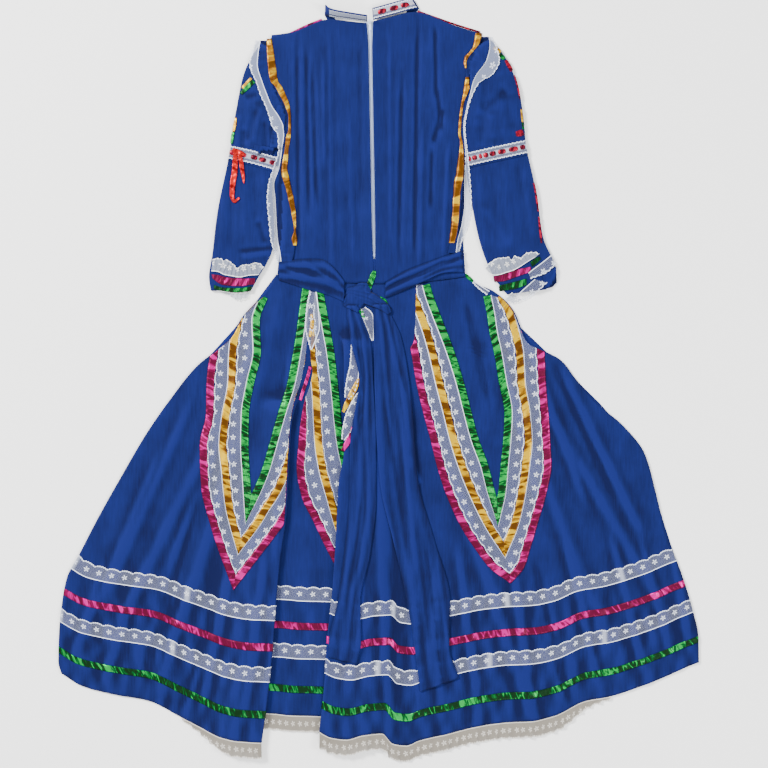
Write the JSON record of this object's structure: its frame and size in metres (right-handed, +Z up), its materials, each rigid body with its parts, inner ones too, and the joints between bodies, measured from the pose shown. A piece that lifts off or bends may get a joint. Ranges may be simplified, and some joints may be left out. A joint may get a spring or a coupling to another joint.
{
  "type": "folklorico dress",
  "caption": "Full-skirted folk dance dress with long sleeves, lace and satin ribbon trims and a back sash, laid flat with its back side up.",
  "frame": {"origin": "middle of the bounding box's underside, on the surface that the dress lies on", "axes": "+Y from the hem towards the collar, +Z up out of the back side, +X to the right as the picture shows it"},
  "size_m": [1.0238, 1.2206, 0.0235],
  "materials": {
    "blue_cloth": "matte woven polyester and cotton, royal blue",
    "white_lace": "white nylon edging lace with a flower repeat",
    "green_satin": "glossy satin ribbon",
    "gold_satin": "glossy satin ribbon",
    "pink_satin": "glossy satin ribbon",
    "red_satin": "glossy satin ribbon",
    "white_nylon": "white nylon coil zip with a painted slider"
  },
  "bodies": {
    "root": {"bodice_front": "blue_cloth", "bodice_back_left": "blue_cloth", "bodice_back_right": "blue_cloth", "zip_tape": "white_nylon", "zip_slider": "white_nylon", "collar": "blue_cloth", "collar_trim_left": "white_lace", "collar_trim_right": "white_lace", "skirt_front": "blue_cloth", "skirt_back": "blue_cloth", "row_lace_upper": "white_lace", "row_ribbon_pink": "pink_satin", "row_lace_lower": "white_lace", "row_ribbon_green": "green_satin", "hem_lace": "white_lace", "vee_left_green": "green_satin", "vee_left_gold": "gold_satin", "vee_left_pink": "pink_satin", "vee_left_lace_inner": "white_lace", "vee_left_lace_outer": "white_lace", "vee_middle_green": "green_satin", "vee_middle_gold": "gold_satin", "vee_middle_pink": "pink_satin", "vee_middle_lace_inner": "white_lace", "vee_middle_lace_outer": "white_lace", "vee_right_green": "green_satin", "vee_right_gold": "gold_satin", "vee_right_pink": "pink_satin", "vee_right_lace_inner": "white_lace", "vee_right_lace_outer": "white_lace", "sleeve_upper_left": "blue_cloth", "sleeve_lower_left": "blue_cloth", "sleeve_upper_right": "blue_cloth", "sleeve_lower_right": "blue_cloth", "sleeve_band_left": "white_lace", "sleeve_band_right": "white_lace", "sleeve_bow_left": "red_satin", "cuff_lace_left": "white_lace", "cuff_ribbon_pink_left": "pink_satin", "cuff_ribbon_green_left": "green_satin", "cuff_hem_lace_left": "white_lace", "cuff_lace_right": "white_lace", "cuff_ribbon_pink_right": "pink_satin", "cuff_ribbon_green_right": "green_satin", "cuff_hem_lace_right": "white_lace", "wing_left": "blue_cloth", "wing_lace_left": "white_lace", "wing_ribbon_left": "gold_satin", "wing_right": "blue_cloth", "wing_lace_right": "white_lace", "wing_ribbon_right": "gold_satin", "sash_tie_left": "blue_cloth", "sash_tie_right": "blue_cloth", "sash_tail_left": "blue_cloth", "sash_tail_right": "blue_cloth", "sash_knot": "blue_cloth"},
    "zip_pull": {"zip_pull": "white_nylon"}
  },
  "joints": [
    {"name": "zip_pull", "type": "hinge", "parent": "root", "child": "zip_pull", "pos_m": [-0.01402, 0.572, 0.007], "axis": [-1, 0, 0], "range_deg": [0, 150]}
  ]
}
